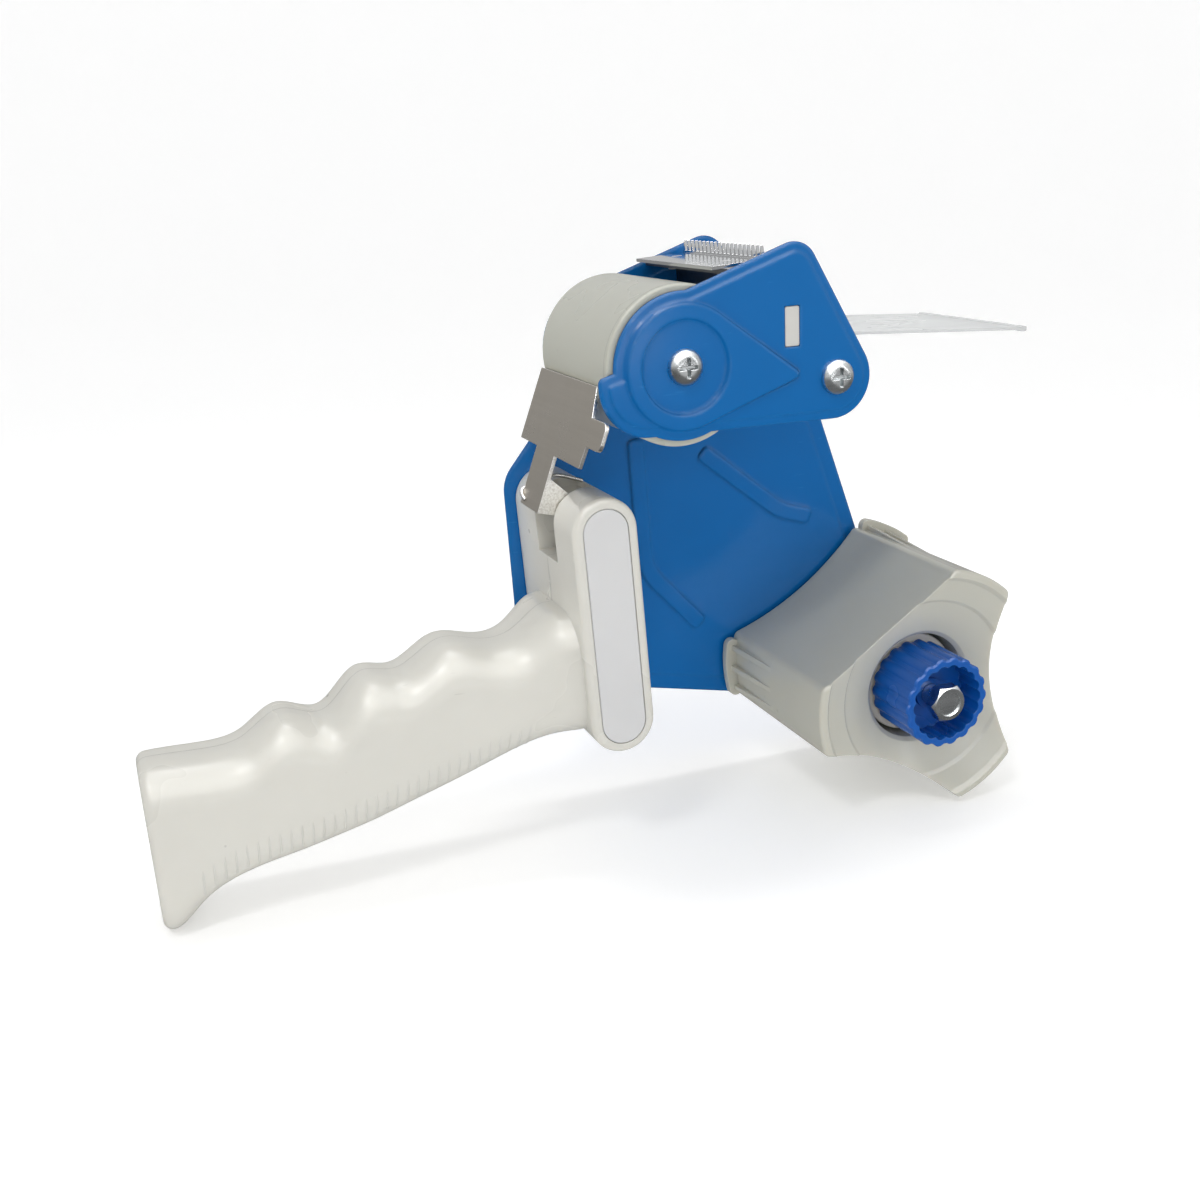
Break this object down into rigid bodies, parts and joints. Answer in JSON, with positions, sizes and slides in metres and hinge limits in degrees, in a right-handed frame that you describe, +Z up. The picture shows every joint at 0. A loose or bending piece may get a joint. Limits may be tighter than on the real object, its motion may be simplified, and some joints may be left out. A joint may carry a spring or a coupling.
{
  "type": "packing tape dispenser",
  "caption": "Hand tape dispenser with a moulded grip, pressed side plates, a roller, a toothed cutter and a lobed hub with a brake knob.",
  "frame": {"origin": "on the ground under the middle of the bounding box, with the dispenser standing on its grip's tip and its hub", "axes": "+X from the grip to the hub, +Y from the front plate to the back plate, +Z up"},
  "size_m": [0.2508, 0.0742, 0.1693],
  "materials": {
    "plate_blue": "gloss stove enamel",
    "plate_blue_back": "gloss stove enamel",
    "roller_white": "satin",
    "post_steel": "bright zinc",
    "screw_zinc": "bright zinc",
    "beam_grey": "satin",
    "flap_clear": "clear, polished",
    "blade_steel": "ground",
    "bracket_steel": "plain sheet",
    "grip_ivory": "satin moulded",
    "cover_grey": "satin moulded",
    "retainer_steel": "brushed sheet with bright cut edges",
    "pin_steel": "drawn wire",
    "hub_beige": "slightly translucent, satin",
    "sleeve_steel": "turned",
    "cup_grey": "satin moulded",
    "friction_felt": "felt",
    "knob_blue": "satin-gloss moulded"
  },
  "bodies": {
    "frame": {"front_plate": "plate_blue", "back_plate": "plate_blue_back", "roller_post": "post_steel", "spacer_post": "post_steel", "front_screws": "screw_zinc", "back_screws": "screw_zinc", "block_screws": "screw_zinc", "tape_guide_beam": "beam_grey", "wiper_flap": "flap_clear", "cutter_blade": "blade_steel", "blade_bracket": "bracket_steel", "blade_rivets": "post_steel", "grip_front_half": "grip_ivory", "grip_back_half": "grip_ivory", "grip_screws": "screw_zinc", "grip_cover": "cover_grey", "hinge_pin": "pin_steel", "hub_bolt": "screw_zinc", "bolt_nuts": "screw_zinc", "plate_washer": "post_steel", "hub_sleeve": "sleeve_steel", "brake_spring": "pin_steel"},
    "roller": {"roller": "roller_white"},
    "hub": {"hub": "hub_beige", "friction_ring": "friction_felt"},
    "retainer": {"retainer_plate": "retainer_steel", "retainer_spring": "pin_steel"},
    "brake": {"thrust_washer": "post_steel", "spring_cup": "cup_grey"},
    "knob": {"tension_knob": "knob_blue", "knob_nut": "screw_zinc"}
  },
  "joints": [
    {"name": "roller_spin", "type": "hinge", "parent": "frame", "child": "roller", "pos_m": [0.01821, 0.0005, 0.13992], "axis": [0, 1, 0], "continuous": true},
    {"name": "hub_spin", "type": "hinge", "parent": "frame", "child": "hub", "pos_m": [0.09547, 0.0005, 0.03805], "axis": [0, 1, 0], "continuous": true},
    {"name": "retainer_swing", "type": "hinge", "parent": "frame", "child": "retainer", "pos_m": [-0.00699, 0.003, 0.10234], "axis": [0, -1, 0], "range_deg": [0, 20], "stiffness_Nm_per_rad": 0.05, "springref_deg": -20.05},
    {"name": "brake_travel", "type": "slide", "parent": "frame", "child": "brake", "axis": [0, -1, 0], "range_m": [0, 0.0058]},
    {"name": "knob_turn", "type": "hinge", "parent": "brake", "child": "knob", "pos_m": [0.09547, -0.0255, 0.03805], "axis": [0, -1, 0], "range_deg": [0, 2080]}
  ],
  "couplings": [
    {"joint": "brake_travel", "follows": "knob_turn", "m_per_rad": 0.00015915}
  ]
}
